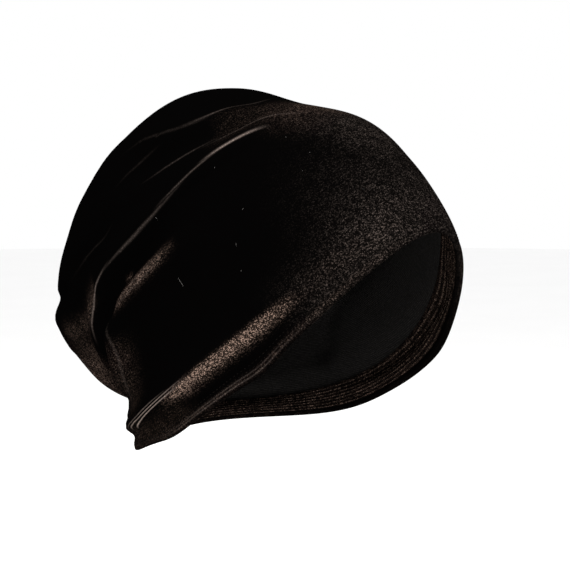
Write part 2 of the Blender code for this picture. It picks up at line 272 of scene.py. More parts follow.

# Fine bright lines: painted highlights on crests and creases, and rows along the hem. Each is
# mirrored.
LINES = table(
    Stripe,
    ("bag crest, bright", -26, 0.280, -37, 0.299, -49, 0.311, 0.6, 0.95, 0.42),
    ("bag crest, line", -34, 0.296, -50, 0.310, -66, 0.320, 0.5, 0.6, 0.11),
    ("bag crest, faint", -50, 0.311, -72, 0.327, -94, 0.391, 0.5, 0.5, 0.10),
    ("bag crest, low", -83, 0.355, -102, 0.406, -124, 0.440, 0.6, 0.9, 0.26),
    ("side flap", -101, 0.340, -108, 0.230, -120, 0.090, 1.0, 0.6, 0.055),
    ("middle crease, front", -8, 0.276, -26, 0.310, -44, 0.353, 0.5, 0.6, 0.07),
    ("middle crease, back", -34, 0.334, -48, 0.368, -62, 0.404, 0.45, 0.45, 0.05),
    ("top crest", -2, 0.374, -25, 0.3695, -44, 0.414, 0.5, 0.8, 0.085),
    ("top crest, faint", -27, 0.3715, -41, 0.404, -56, 0.490, 0.5, 0.6, 0.022),
    ("high crease", -46, 0.410, -56, 0.430, -68, 0.458, 0.5, 0.5, 0.014),
    ("back crease", -74, 0.420, -88, 0.478, -97, 0.640, 0.5, 0.5, 0.014),
    ("hem roll, first row", -78, 0.0740, -101, 0.0790, -111, 0.061, 0.26, 0.26, 0.62, 0.25),
    ("hem roll, second row", -78, 0.0800, -103, 0.0850, -114, 0.066, 0.26, 0.26, 0.55, 0.25),
    ("hem roll, third row", -86, 0.0870, -105, 0.0910, -117, 0.071, 0.26, 0.26, 0.24, 0.30),
    ("hem, first row", -40, 0.004, -72, 0.005, -112, 0.006, 0.35, 0.35, 0.11),
    ("hem, second row", -44, 0.011, -74, 0.012, -112, 0.013, 0.35, 0.35, 0.075),
    ("side crest, first streak", -70, 0.251, -84, 0.272, -100, 0.316, 0.4, 0.4, 0.08),
    ("side crest, second streak", -68, 0.257, -84, 0.281, -100, 0.325, 0.4, 0.4, 0.07),
)

# The wide pale sheen above the brow, which isn't mirrored.
FOREHEAD_SHEENS = table(
    Stripe,
    ("forehead", -42, 0.020, 6, 0.040, 58, 0.020, 35, 37, 0.029),
    ("forehead, by the hem", -54, 0.018, -32, 0.036, -6, 0.040, 14, 15, 0.021),
    ("forehead, high", -20, 0.185, 4, 0.215, 36, 0.195, 18, 22, 0.026),
)


class Band(NamedTuple):
    """A stretch of the way from hem to tip, and how many loops divide it."""

    up: float
    loops: int


def smooth_between(wanted: Grid, knots: Grid, values: Grid) -> Grid:
    """Follows a smooth curve through the knots.

    Args:
        wanted: Places to read the curve at.
        knots: Places of the knots, rising.
        values: The curve's values at the knots.

    Returns:
        The curve's values at the wanted places.
    """
    slopes = np.gradient(values, knots)
    cell = np.clip(np.searchsorted(knots, wanted, side="right") - 1, 0, len(knots) - 2)
    width = knots[cell + 1] - knots[cell]
    t = (wanted - knots[cell]) / width
    return (
        values[cell] * (1 + 2 * t) * (1 - t) ** 2
        + slopes[cell] * width * t * (1 - t) ** 2
        + values[cell + 1] * t**2 * (3 - 2 * t)
        + slopes[cell + 1] * width * t**2 * (t - 1)
    )


def smooth_step(share: Grid) -> Grid:
    """Rises from 0 to 1 with level ends."""
    share = np.clip(share, 0, 1)
    return share * share * (3 - 2 * share)


@dataclass(frozen=True)
class HatForm:
    """The form of the cloth as it sits on a head, in metres.

    The lean of the bag and the ripples begin, and the narrowing at the brow and the dips of the
    hem end, at a share of the way from hem to tip. fold_spread is what the whole way counts for
    where a strip's width is measured. A strip is felt up to reach_widths of its wider half and a
    margin away from its route. It fades at both ends over a share of its length, ends, or
    line_ends for a line. A line's light stops at line_reach, over its last line_fade.
    """

    opening_length: float = 184 * MM
    opening_width: float = 156 * MM
    brow_rise: float = 121 * MM
    crown_rise: float = 70 * MM
    slouch_reach: float = 74 * MM
    slouch_lean: float = 9 * MM
    lean_start: float = 0.3
    brow_narrowing: float = 0.15
    narrowing_end: float = 0.5
    fold_spread: float = 100 * MM
    dip_end: float = 0.12
    ripple_height: float = 0.35 * MM
    ripple_start: float = 0.12
    ripple_rise: float = 0.2
    reach_widths: float = 3.2
    margin: float = 6 * MM
    ends: float = 0.3
    line_ends: float = 0.45
    line_reach: float = 3.5 * MM
    line_fade: float = 1.5 * MM
    route_points: int = 64

    def along(self, share: Grid) -> Grid:
        """Place from front to back of a share along the hat."""
        half = self.opening_length / 2
        return np.where(share <= 1, share * half, half + (share - 1) * self.slouch_reach)

    def high(self, share: Grid) -> Grid:
        """Height of a share up the hat, above the hem at the nape."""
        rise = self.brow_rise
        return np.where(share <= 1, share * rise, rise + (share - 1) * self.crown_rise)

    def plain(self, around: Grid, up: Grid) -> Grid:
        """Points of the cloth without its folds.

        Args:
            around: Angles round the hat, in radians.
            up: Shares of the way from hem to tip.

        Returns:
            Points, with X, Y and Z on the last axis.
        """
        known, *columns = np.array(SECTIONS).T
        top_along, top_height, under_along, under_height, half_width, sweep = (
            smooth_between(up, known, column) for column in columns
        )
        top_y, under_y = self.along(top_along), self.along(under_along)
        top_z, under_z = self.high(top_height), self.high(under_height)
        rise = (1 + np.cos(around)) / 2
        lean_share = (up - self.lean_start) / (1 - self.lean_start)
        lean = self.slouch_lean * np.clip(lean_share, 0, 1)
        front = np.clip(np.cos(around), 0, 1) ** 2 * np.clip(1 - up / self.narrowing_end, 0, 1)
        half = half_width * (1 - self.brow_narrowing * front) * self.opening_width / 2
        x = np.sin(around) * half - lean
        y = under_y + rise * (top_y - under_y)
        z = under_z + rise**sweep * (top_z - under_z) - self.brow_rise / 2
        z = z - self.hem_drop(around) * np.clip(1 - up / self.dip_end, 0, 1) ** 2
        return np.stack([x, y, z], axis=-1)

    @staticmethod
    def hem_drop(around: Grid) -> Grid:
        """How much lower than an even curve the hem hangs."""
        drop = 0.0
        for dip in HEM_DIPS:
            away = (np.degrees(around) - dip.around + 180) % 360 - 180
            drop = drop + dip.drop * MM * np.exp(-((away / dip.spread) ** 2))
        return drop

    def outward(self, around: Grid, up: Grid) -> Grid:
        """Outward unit normals of the cloth without its folds."""
        low, high = np.maximum(up - STEP, 0), np.minimum(up + STEP, 1)
        across = self.plain(around + STEP, up) - self.plain(around - STEP, up)
        upward = self.plain(around, high) - self.plain(around, low)
        return unit(np.cross(across, upward))

    def across(self, stripe: Stripe, plain: Grid, up: Grid, ends: float) -> tuple[Grid, Grid]:
        """Where each plain point lies beside a stripe's route.

        Args:
            stripe: The strip of cloth.
            plain: Points of the cloth without its folds.
            up: Their shares of the way from hem to tip.
            ends: The share of the stripe's length over which each end fades.

        Returns:
            The distance from the route in metres, positive on the tip's side, and the stripe's
            taper there, from 0 at its ends to 1. Points far from the route have a taper of 0.
        """
        t = np.linspace(0, 1, self.route_points)
        weights = np.stack([2 * (t - 0.5) * (t - 1), 4 * t * (1 - t), 2 * t * (t - 0.5)])
        corners = np.radians([stripe.start_around, stripe.middle_around, stripe.end_around])
        route_around = weights.T @ np.unwrap(corners)
        route_up = weights.T @ np.array([stripe.start_up, stripe.middle_up, stripe.end_up])
        route = self.plain(route_around, route_up)
        taper = smooth_step(t / ends) * smooth_step((1 - t) / ends)
        widest = max(stripe.hem_side, stripe.tip_side) * MM
        reach = self.reach_widths * widest + self.margin
        low, high = route.min(axis=0) - reach, route.max(axis=0) + reach
        near = np.all((plain > low) & (plain < high), axis=-1)
        distance, share = np.full(up.shape, reach), np.zeros(up.shape)
        if not near.any():
            return distance, share
        gap = plain[near][:, None, :] - route
        rest = up[near][:, None] - route_up
        away = np.sum(gap * gap, axis=-1) + (rest * self.fold_spread) ** 2
        nearest = np.argmin(away, axis=-1)
        row = np.arange(len(nearest))
        tangent = unit(np.gradient(route, axis=0))
        to_point, along = gap[row, nearest], tangent[nearest]
        beside = to_point - np.sum(to_point * along, axis=-1, keepdims=True) * along
        length = np.hypot(np.linalg.norm(beside, axis=-1), rest[row, nearest] * self.fold_spread)
        distance[near] = np.where(rest[row, nearest] > 0, length, -length)
        share[near] = np.where(length < reach, taper[nearest], 0)
        return distance, share

    def strength(self, stripe: Stripe, plain: Grid, up: Grid) -> Grid:
        """How much of a stripe reaches each plain point, from 0 to 1."""
        distance, taper = self.across(stripe, plain, up, stripe.fade or self.ends)
        width = np.where(distance > 0, stripe.tip_side, stripe.hem_side) * MM
        return taper * np.exp(-((distance / width) ** 2))

    def lift(self, around: Grid, up: Grid, fine: bool) -> Grid:
        """How far the folds move the cloth outwards.

        Args:
            around: Angles round the hat, in radians.
            up: Shares of the way from hem to tip.
            fine: Whether the fine creases and ripples are wanted too.

        Returns:
            Heights in metres.
        """
        plain = self.plain(around, up)
        folds = FOLDS + FINE_FOLDS if fine else FOLDS
        lift = sum(self.strength(fold, plain, up) * fold.amount * MM for fold in folds)
        if not fine:
            return lift
        # Two crossed waves with a waver, all their lengths in millimetres.
        x, y, z = (plain[..., axis] / MM for axis in range(3))
        ripple = np.sin(x / 9.1 + 1.3 * np.sin(z / 17)) * np.sin(y / 11.3 + z / 23)
        ripple = ripple + 0.6 * np.sin(z / 5.3 + y / 8.7 + np.sin(x / 13))
        loose = smooth_step((up - self.ripple_start) / self.ripple_rise)
        loose = loose * smooth_step((1 - up) / self.ripple_rise)
        return lift + ripple * loose * self.ripple_height

    def points(self, around: Grid, up: Grid, inward: float = 0.0, fine: bool = True) -> Grid:
        """Points of the folded cloth.

        Args:
            around: Angles round the hat, in radians.
            up: Shares of the way from hem to tip.
            inward: How far into the hat the points are moved, in metres.
            fine: Whether the fine creases and ripples are wanted too.

        Returns:
            Points, with X, Y and Z on the last axis.
        """
        around, up = np.broadcast_arrays(around, up)
        lift = self.lift(around, up, fine) - inward
        return self.plain(around, up) + self.outward(around, up) * lift[..., None]

    def sheen(self, around: Grid, up: Grid) -> Grid:
        """How much painted sheen each point gets, from 0 to 1.

        Args:
            around: Angles round the hat, in radians.
            up: Shares of the way from hem to tip.

        Returns:
            The warm sheen of the folds, the pale sheen of the forehead, and 0 on the last axis.
        """
        around, up = np.broadcast_arrays(around, up)
        plain = self.plain(around, up)
        folded = (*SHEENS, *(stripe.mirrored() for stripe in SHEENS), *BACK_SHEENS)
        sheens = []
        for stripes in (folded, FOREHEAD_SHEENS):
            dull = np.ones(up.shape)
            for stripe in stripes:
                dull = dull * (1 - self.strength(stripe, plain, up) * stripe.amount)
            sheens.append(1 - dull)
        return np.stack([*sheens, np.zeros(up.shape)], axis=-1)

    def lines(self, around: Grid, up: Grid) -> list[Grid]:
        """Where each point lies beside the nearest of the fine bright lines.

        Args:
            around: Angles round the hat, in radians.
            up: Shares of the way from hem to tip.

        Returns:
            For each set of lines, a grid of the distance across the line, in its half widths,
            and the line's share, 0 away from it.
        """
        around, up = np.broadcast_arrays(around, up)
        plain = self.plain(around, up)
        sets = []
        for every in range(LINE_SETS):
            chosen = np.full((*up.shape, 3), (FAR, 0.0, 0.0))
            best = np.full(up.shape, np.inf)
            for line in LINES[every::LINE_SETS]:
                for side in (line, line.mirrored()):
                    distance, taper = self.across(side, plain, up, side.fade or self.line_ends)
                    width = np.where(distance > 0, side.tip_side, side.hem_side) * MM
                    window = smooth_step((self.line_reach - np.abs(distance)) / self.line_fade)
                    closer = (taper > 0) & (np.abs(distance) < best)
                    best = np.where(closer, np.abs(distance), best)
                    chosen[closer, 0] = (distance / width)[closer]
                    chosen[closer, 1] = (taper * window * side.amount)[closer]
            sets.append(chosen)
        return sets


@dataclass(frozen=True)
class ClothGrid:
    """How finely a piece of cloth is divided. Points crowd at its sides, where it curves most."""

    bands: tuple[Band, ...]
    spokes: int = 280
    side_crowding: float = 0.2

    def angles(self) -> Grid:
        """The angles round the hat of a loop's points."""
        even = np.arange(self.spokes) * 2 * math.pi / self.spokes
        return even + self.side_crowding * np.sin(2 * even)

    def ups(self, start: float = 0.0) -> Grid:
        """The shares from hem to tip of the loops."""
        ups = [start]
        for band in self.bands:
            ups.extend(np.linspace(ups[-1], band.up, band.loops + 1)[1:])
        return np.array(ups)


def even_sheen(points: Grid, share: float | Grid) -> Grid:
    """The same warm sheen at each point of a ring."""
    sheen = np.zeros((len(points), 3))
    sheen[:, 0] = share
    return sheen


@dataclass(frozen=True)
class Loop:
    """One ring of points of a cloth mesh, with what the materials read there."""

    points: Grid
    sheen: Grid
    climb: Grid
    lines: tuple[Grid, ...] = ()


def mesh_of_loops(name: str, loops: Sequence[Loop], face_side: Callable[[int], Cloth],
                  closed: bool, tips: bool) -> Mesh:
    """Joins rings of points into one mesh with a UV map in metres and a sheen attribute.

    Args:
        name: The mesh's name.
        loops: Rings of points with the same number of points each.
        face_side: Gives the side of the cloth that shows in each row of faces.
        closed: Whether the last ring joins the first.
        tips: Whether the first and last rings are closed to a point.

    Returns:
        The mesh, with its faces pointing outwards.
    """
    mesh = bmesh.new()
    uv_layer = mesh.loops.layers.uv.new("cloth")
    sheen_layer = mesh.verts.layers.float_vector.new("sheen")
    line_layers = [mesh.verts.layers.float_vector.new(f"lines_{k}") for k in range(LINE_SETS)]
    spokes = len(loops[0].points)
    rings = []
    for loop in loops:
        ring = [mesh.verts.new(point) for point in loop.points]
        for vertex, sheen in zip(ring, loop.sheen):
            vertex[sheen_layer] = sheen
        for layer, line in zip(line_layers, loop.lines):
            for vertex, value in zip(ring, line):
                vertex[layer] = value
        rings.append(ring)
    last = len(rings) if closed else len(rings) - 1
    for row in range(last):
        upper = (row + 1) % len(rings)
        for k in range(spokes):
            corners = ((row, k), (row, k + 1), (upper, k + 1), (upper, k))
            face = mesh.faces.new([rings[ring][place % spokes] for ring, place in corners])
            face.material_index = face_side(row).value
            for corner, (ring, place) in zip(face.loops, corners):
                climb = loops[ring].climb[place % spokes]
                corner[uv_layer].uv = place / spokes * GIRTH, climb
    if tips:
        for ring, row in ((rings[0], 0), (rings[-1], last - 1)):
            centre = mesh.verts.new(sum((vertex.co for vertex in ring), Vector()) / spokes)
            for k in range(spokes):
                face = mesh.faces.new((ring[k], ring[(k + 1) % spokes], centre))
                face.material_index = face_side(row).value
    for face in mesh.faces:
        face.smooth = True
    bmesh.ops.recalc_face_normals(mesh, faces=mesh.faces)
    return mesh_data(mesh, name)


def mesh_data(mesh: bmesh.types.BMesh, name: str) -> Mesh:
    """Turns a working mesh into mesh data and frees it."""
    data = bpy.data.meshes.new(name)
    mesh.to_mesh(data)
    mesh.free()
    return data


def add_object(name: str, data: ID) -> Object:
    """Puts data into the scene as a named object at the origin."""
    piece = bpy.data.objects.new(name, data)
    bpy.context.scene.collection.objects.link(piece)
    return piece


@dataclass
class NodeMaker:
    """Adds nodes to a tree and links them in one call."""

    tree: NodeTree

    def add(self, kind: str, links: dict | None = None, **settings: object) -> Node:
        """Adds a node.

        Args:
            kind: The node's type name.
            links: For an input's name or index, an output socket to link or a value to set.
            **settings: Attributes of the node.

        Returns:
            The node.
        """
        node = self.tree.nodes.new(kind)
        for key, value in settings.items():
            setattr(node, key, value)
        self.feed(node, links or {})
        return node

    def feed(self, node: Node, links: dict) -> None:
        """Links an output to each named input of a node, or sets its value."""
        for key, value in links.items():
            if isinstance(value, NodeSocket):
                self.tree.links.new(value, node.inputs[key])
            else:
                node.inputs[key].default_value = value

    def shade(self, links: dict) -> None:
        """Links outputs to the material's own shader, or sets its values."""
        self.feed(self.tree.nodes["Principled BSDF"], links)

    def maths(self, operation: str, first: object, second: object = 0.0) -> NodeSocket:
        """Adds a maths node and gives its output."""
        return self.add("ShaderNodeMath", {0: first, 1: second}, operation=operation).outputs[0]

    def ramp(self, value: object, start: float, end: float, low: float = 0.0,
             high: float = 1.0) -> NodeSocket:
        """Maps the values from low to high to those from start to end and clamps them."""
        links = {"Value": value, "From Min": low, "From Max": high, "To Min": start, "To Max": end}
        return self.add("ShaderNodeMapRange", links, interpolation_type="SMOOTHSTEP").outputs[0]

    def blend(self, share: object, first: object, second: object) -> NodeSocket:
        """Mixes two colours, each a socket or a plain colour, by a share."""
        ends = [(*end, 1) if isinstance(end, tuple) else end for end in (first, second)]
        links = {"Factor": share, 6: ends[0], 7: ends[1]}
        return self.add("ShaderNodeMix", links, data_type="RGBA").outputs[2]

    def bump(self, height: object, strength: float, depth: float) -> NodeSocket:
        """Turns a height from 0 to 1 into a normal, for relief of a strength and a depth."""
        links = {"Height": height, "Strength": strength, "Distance": depth}
        return self.add("ShaderNodeBump", links).outputs["Normal"]


def new_material(name: str) -> tuple[Material, NodeMaker]:
    """Starts a material and gives a maker of its nodes."""
    material = bpy.data.materials.new(name)
    material.use_nodes = True
    return material, NodeMaker(material.node_tree)


def new_group(name: str, inputs: dict[str, float], outputs: Sequence[str]) -> NodeMaker:
    """Starts a shader node group with number inputs and number outputs."""
    tree = bpy.data.node_groups.new(name, "ShaderNodeTree")
    for key, value in inputs.items():
        socket = tree.interface.new_socket(key, in_out="INPUT", socket_type="NodeSocketFloat")
        socket.default_value = value
    for key in outputs:
        tree.interface.new_socket(key, in_out="OUTPUT", socket_type="NodeSocketFloat")
    return NodeMaker(tree)


@dataclass(frozen=True)
class PileGrain:
    """The fine glitter of velvet pile: tufts that catch the light and tufts that don't."""

    tuft: float = 0.42 * MM
    patch: float = 7 * MM

    def group(self) -> NodeTree:
        """The node group, with each tuft's own number, a patch and a bump height."""
        outputs = ("Tuft Share", "Patch", "Height")
        make = new_group("pile_grain", {"Tuft": self.tuft, "Patch Size": self.patch}, outputs)
        given = make.add("NodeGroupInput")
        place = make.add("ShaderNodeTexCoord").outputs["Object"]
        tufts = make.add("ShaderNodeTexVoronoi", {"Vector": place, "Randomness": 1.0,
                         "Scale": make.maths("DIVIDE", 1.0, given.outputs["Tuft"])})
        share = make.add("ShaderNodeSeparateColor", {0: tufts.outputs["Color"]}).outputs[0]
        wide = make.add("ShaderNodeTexNoise", {"Vector": place, "Detail": 2.0, "Roughness": 0.5,
                        "Scale": make.maths("DIVIDE", 1.0, given.outputs["Patch Size"])})
        patch = make.ramp(wide.outputs["Fac"], 0.0, 1.0, 0.3, 0.7)
        height = make.maths("SUBTRACT", 1.0, tufts.outputs["Distance"])
        make.add("NodeGroupOutput", {"Tuft Share": share, "Patch": patch, "Height": height})
        return make.tree


@dataclass(frozen=True)
class KnitRibs:
    """The rows of the knit, which run round the hat, with a slight waver."""

    pitch: float = 1.5 * MM
    waver: float = 0.25 * MM
    waver_scale: float = 90.0

    def group(self) -> NodeTree:
        """The node group, with the height of a row."""
        make = new_group("knit_ribs", {"Pitch": self.pitch, "Waver": self.waver}, ("Row",))
        given = make.add("NodeGroupInput")
        place = make.add("ShaderNodeUVMap", uv_map="cloth").outputs["UV"]
        climb = make.add("ShaderNodeSeparateXYZ", {"Vector": place}).outputs["Y"]
        noise = make.add("ShaderNodeTexNoise", {"Vector": place, "Detail": 1.0,
                         "Scale": self.waver_scale})
        shift = make.maths("MULTIPLY", noise.outputs["Fac"], given.outputs["Waver"])
        turns = make.maths("DIVIDE", make.maths("ADD", climb, shift), given.outputs["Pitch"])
        wave = make.maths("SINE", make.maths("MULTIPLY", turns, 2 * math.pi))
        row = make.maths("ADD", make.maths("MULTIPLY", wave, 0.5), 0.5)
        make.add("NodeGroupOutput", {"Row": row})
        return make.tree


@dataclass(frozen=True)
class VelvetFinish:
    """Black crushed stretch velvet with painted sheen: brown on folds, pale on brow and lines."""

    name: str
    grain: NodeTree
    ribs: NodeTree
    standing: Colour = (0.0008, 0.0007, 0.0007)
    # warm and pale are the colours of the painted sheen.
    warm: Colour = (0.270, 0.184, 0.144)
    pale: Colour = (0.270, 0.213, 0.186)
    tuft_power: float = 6.0
    tuft_gain: float = 5.6
    tuft_base: float = 0.10
    rib_share: float = 0.22
    patch_share: float = 0.22
    line_grain: float = 0.25
    line_sets: int = LINE_SETS
    roughness: tuple[float, float] = (0.95, 0.70)
    tuft_relief: float = 0.6
    rib_relief: float = 0.25
    relief: tuple[float, float] = (0.4, 0.3 * MM)

    def material(self) -> Material:
        """Builds the material."""
        material, make = new_material(self.name)
        grain = make.add("ShaderNodeGroup", node_tree=self.grain)
        ribs = make.add("ShaderNodeGroup", node_tree=self.ribs)
        read = make.add("ShaderNodeAttribute", attribute_name="sheen")
        # The two shares of painted sheen, warm and pale, read from the mesh's sheen attribute.
        painted_sheen_shares = make.add("ShaderNodeSeparateXYZ", {0: read.outputs["Vector"]})
        ribbed = self.varied(make, ribs.outputs["Row"], self.rib_share)
        few = make.maths("POWER", grain.outputs["Tuft Share"], self.tuft_power)
        tufts = make.maths("ADD", make.maths("MULTIPLY", few, self.tuft_gain), self.tuft_base)
        patchy = self.varied(make, grain.outputs["Patch"], self.patch_share)
        grainy = make.maths("MULTIPLY", make.maths("MULTIPLY", tufts, ribbed), patchy)
        warm = make.maths("MULTIPLY", painted_sheen_shares.outputs[0], grainy)
        glitter = make.maths("MULTIPLY", tufts, self.line_grain)
        sleek = make.maths("ADD", glitter, 1 - self.line_grain)
        lines = 0.0
        for number in range(self.line_sets):
            lines = make.maths("MAXIMUM", lines, self.line(make, number))
        pale = make.maths("ADD", make.maths("MULTIPLY", painted_sheen_shares.outputs[1], grainy),
                          make.maths("MULTIPLY", lines, sleek))
        tuft_height = make.maths("MULTIPLY", grain.outputs["Height"], self.tuft_relief)
        rib_height = make.maths("MULTIPLY", ribs.outputs["Row"], self.rib_relief)
        # The base colour lays the painted sheen and the painted highlight lines over the black.
        make.shade({
            "Base Color": make.blend(pale, make.blend(warm, self.standing, self.warm), self.pale),
            "Roughness": make.ramp(warm, *self.roughness),
            "Normal": make.bump(make.maths("ADD", tuft_height, rib_height), *self.relief),
            "Specular IOR Level": 0.0,
        })
        return material

    @staticmethod
    def varied(make: NodeMaker, value: NodeSocket, share: float) -> NodeSocket:
        """A factor round 1 that varies by a share each way as the value goes from 0 to 1."""
        return make.ramp(value, 1 - share, 1 + share)

    @staticmethod
    def line(make: NodeMaker, number: int) -> NodeSocket:
        """The light of one set of fine lines: most on the line, less to both sides."""
        read = make.add("ShaderNodeAttribute", attribute_name=f"lines_{number}")
        parts = make.add("ShaderNodeSeparateXYZ", {0: read.outputs["Vector"]})
        square = make.maths("MULTIPLY", parts.outputs[0], parts.outputs[0])
        bell = make.maths("EXPONENT", make.maths("MULTIPLY", square, -1.0))
        return make.maths("MULTIPLY", bell, parts.outputs[1])


@dataclass(frozen=True)
class KnitBackFinish:
    """The dull back of the velvet: fine black knit rows with no pile."""

    ribs: NodeTree
    grain: NodeTree
    dark: Colour = (0.004, 0.0037, 0.0035)
    light: Colour = (0.014, 0.0128, 0.012)
    pitch: float = 1.1 * MM
    tuft: float = 0.8 * MM
    roughness: tuple[float, float] = (0.95, 0.80)
    relief: tuple[float, float] = (0.6, 0.25 * MM)

    def material(self) -> Material:
        """Builds the material."""
        material, make = new_material("velvet_knit_back")
        ribs = make.add("ShaderNodeGroup", {"Pitch": self.pitch}, node_tree=self.ribs)
        grain = make.add("ShaderNodeGroup", {"Tuft": self.tuft}, node_tree=self.grain)
        mixed = make.maths("MULTIPLY", ribs.outputs["Row"], grain.outputs["Tuft Share"])
        make.shade({
            "Base Color": make.blend(mixed, self.dark, self.light),
            "Roughness": make.ramp(mixed, *self.roughness),
            "Normal": make.bump(ribs.outputs["Row"], *self.relief),
            "Specular IOR Level": 0.05,
        })
        return material


@dataclass(frozen=True)
class ThreadFinish:
    """Twisted sewing thread or loose fibre, a little paler on its rounds."""

    name: str
    colour: Colour
    light: Colour
    twist: float = 0.3 * MM
    roughness: float = 0.8
    relief: tuple[float, float] = (0.4, 0.1 * MM)

    def material(self) -> Material:
        """Builds the material."""
        material, make = new_material(self.name)
        place = make.add("ShaderNodeTexCoord").outputs["Object"]
        noise = make.add("ShaderNodeTexNoise", {"Vector": place, "Scale": 1 / self.twist,
                         "Detail": 1.0})
        mixed = make.ramp(noise.outputs["Fac"], 0.0, 1.0, 0.35, 0.65)
        make.shade({
            "Base Color": make.blend(mixed, self.colour, self.light),
            "Roughness": self.roughness,
            "Normal": make.bump(mixed, *self.relief),
            "Specular IOR Level": 0.05,
        })
        return material


@dataclass
class Crown:
    """The velvet crown: the outer pile, the rolled lip of the hem and the knit back inside.

    turned_in has the shares of the way up at which the pile goes on behind the lip, and the knit
    back begins at inside_start.
    """

    form: HatForm
    pile: Material
    knit_back: Material
    cloth: float = 1.8 * MM
    hem_thickness: float = 3.2 * MM
    lip_points: int = 5
    turned_in: tuple[float, ...] = (0.0, 0.006, 0.011)
    turned_in_sheen: float = 0.3
    inside_start: float = 0.013
    outside: ClothGrid = ClothGrid(
        table(Band, (0.14, 48), (0.25, 20), (0.47, 78), (0.75, 40), (0.985, 26))
    )
    inside: ClothGrid = ClothGrid(
        table(Band, (0.13, 10), (0.25, 12), (0.47, 34), (0.75, 20), (0.985, 14))
    )

    def loops(self) -> tuple[list[Loop], int]:
        """The rings of the wall.

        Returns:
            The rings from the tip outside, down, round the lip and up inside to the tip, and the
            number of rows of faces that show pile.
        """
        around = self.outside.angles()[None, :]
        ups = self.outside.ups()[:, None]
        outer = self.form.points(around, ups)
        sheen = self.form.sheen(around, ups)
        climb = self.climbed(outer)
        lines = tuple(zip(*self.form.lines(around, ups)))
        loops = [Loop(*row) for row in zip(outer, sheen, climb, lines)][::-1]
        normal = self.form.outward(around, np.zeros_like(around))[0]
        down = unit(outer[0] - outer[1])
        for place in range(1, self.lip_points + 1):
            turn = math.pi * place / (self.lip_points + 1)
            inward = self.hem_thickness / 2 * (1 - math.cos(turn))
            drop = self.cloth / 2 * math.sin(turn)
            points = outer[0] - normal * inward + down * drop
            shine = sheen[0] * math.cos(turn / 2)
            loops.append(Loop(points, shine, climb[0] - drop, lines[0]))
        pile_rows = len(loops) + len(self.turned_in) - 1
        lip_up = np.array(self.turned_in)[:, None]
        for points in self.form.points(around, lip_up, self.hem_thickness, fine=False):
            loops.append(Loop(points, sheen[0] * self.turned_in_sheen, climb[0]))
        inner_ups = self.inside.ups(self.inside_start)[:, None]
        inner = self.form.points(around, inner_ups, self.cloth, fine=False)
        inner_climb = self.climbed(inner)
        loops.extend(Loop(p, even_sheen(p, 0), c) for p, c in zip(inner, inner_climb))
        return loops, pile_rows

    @staticmethod
    def climbed(rings: Grid) -> Grid:
        """How far each point lies from the hem along the cloth."""
        lengths = np.linalg.norm(np.diff(rings, axis=0), axis=-1)
        return np.vstack([np.zeros(rings.shape[1]), np.cumsum(lengths, axis=0)])

    def build(self) -> Object:
        """Builds the crown and lets it stand for its solid."""
        loops, pile_rows = self.loops()
        data = mesh_of_loops(
            "crown_velvet",
            loops,
            lambda row: Cloth.PILE if row < pile_rows else Cloth.KNIT_BACK,
            closed=False,
            tips=True,
        )
        data.materials.append(self.pile)
        data.materials.append(self.knit_back)
        piece = add_object("crown_velvet", data)
        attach(piece, "root")
        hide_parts("crown")
        return piece


@dataclass
class HemFacing:
    """The turned-in strip of the hem, pile towards the head, with its rows of knit.

    low is its lower edge as a share of the way up. Its hidden side has a loop for every
    hidden_step loops of the side that shows.
    """

    form: HatForm
    pile: Material
    inset: float = 2.2 * MM
    cloth: float = 1.2 * MM
    low: float = 0.0145
    rib_height: float = 0.22 * MM
    ribs: int = 7
    dull: float = 0.02
    rib_shine: float = 0.10
    hidden_step: int = 4
    grid: ClothGrid = ClothGrid((Band(0.0925, 56),))

    def build(self) -> Object:
        """Builds the strip and lets it stand for its solid."""
        around = self.grid.angles()[None, :]
        ups = self.grid.ups(self.low)[:, None]
        share = (ups - ups[0]) / (ups[-1] - ups[0])
        wave = np.sin(share * self.ribs * 2 * math.pi)
        near = self.form.points(around, ups, self.inset, fine=False)
        far = self.form.points(around, ups, self.inset + self.cloth, fine=False)
        normals = self.form.outward(*np.broadcast_arrays(around, ups))
        far = far - normals * (wave * self.rib_height)[..., None]
        shine = self.dull + self.rib_shine * np.clip(wave, 0, 1)
        climb = Crown.climbed(far)
        hidden = zip(near[::-self.hidden_step], climb[::-self.hidden_step])
        loops = [Loop(p, even_sheen(p, self.dull), c) for p, c in hidden]
        loops.extend(Loop(p, even_sheen(p, s), c) for p, s, c in zip(far, shine, climb))
        data = mesh_of_loops("hem_facing_velvet", loops, lambda row: Cloth.PILE, True, False)
        data.materials.append(self.pile)
        piece = add_object("hem_facing_velvet", data)
        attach(piece, "root")
        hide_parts("hem_facing")
        return piece


